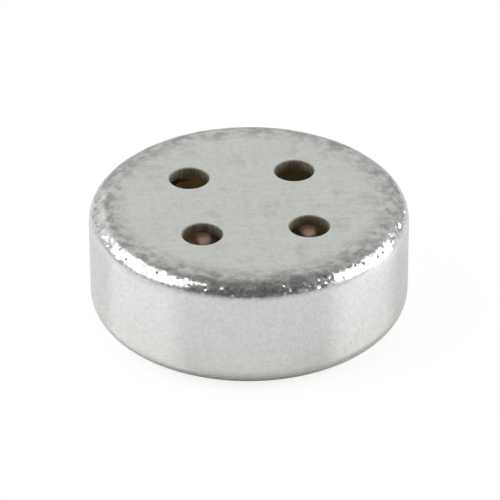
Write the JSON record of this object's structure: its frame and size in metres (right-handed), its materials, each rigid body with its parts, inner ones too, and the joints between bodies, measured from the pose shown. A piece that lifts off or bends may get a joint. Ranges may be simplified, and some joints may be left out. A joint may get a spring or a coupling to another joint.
{
  "type": "electret microphone capsule",
  "caption": "Small round electret microphone capsule in a crimped aluminium can, with sound ports in its front face and solder lands on its rear board.",
  "frame": {"origin": "centre of the plane that the rolled rear edge stands on", "axes": "+Z along the can's axis, out of the front face; the square of sound ports is aligned with X and Y; the ground land is on +X"},
  "size_m": [0.006, 0.006, 0.0022],
  "materials": {
    "can_aluminium": "satin drawn sheet, grainy at the front bend",
    "ring_brass": "stamped, bright",
    "metallised_film": "thin polymer film with a copper-coloured metal coat",
    "spacer_plastic": "thin punched film",
    "electret_polymer": "smooth polymer film",
    "plate_brass": "stamped",
    "chamber_plastic": "moulded",
    "board_laminate": "glass-epoxy laminate",
    "copper": "etched copper",
    "mask_lacquer": "solder mask lacquer",
    "tin": "tinned",
    "package_epoxy": "moulded epoxy",
    "capacitor_ceramic": "fired ceramic",
    "solder": "bright solder"
  },
  "bodies": {
    "root": {"can": "can_aluminium", "diaphragm_ring": "ring_brass", "diaphragm_film": "metallised_film", "spacer_ring": "spacer_plastic", "electret_film": "electret_polymer", "back_plate": "plate_brass", "chamber_ring": "chamber_plastic", "gate_ring": "ring_brass", "circuit_board": "board_laminate", "component_copper": "copper", "terminal_copper": "copper", "via_barrels": "copper", "solder_mask": "mask_lacquer", "output_land": "tin", "ground_land": "tin", "fet_body": "package_epoxy", "fet_leads": "tin", "capacitor_1_body": "capacitor_ceramic", "capacitor_1_ends": "tin", "capacitor_2_body": "capacitor_ceramic", "capacitor_2_ends": "tin", "solder_fillets": "solder"}
  },
  "joints": []
}
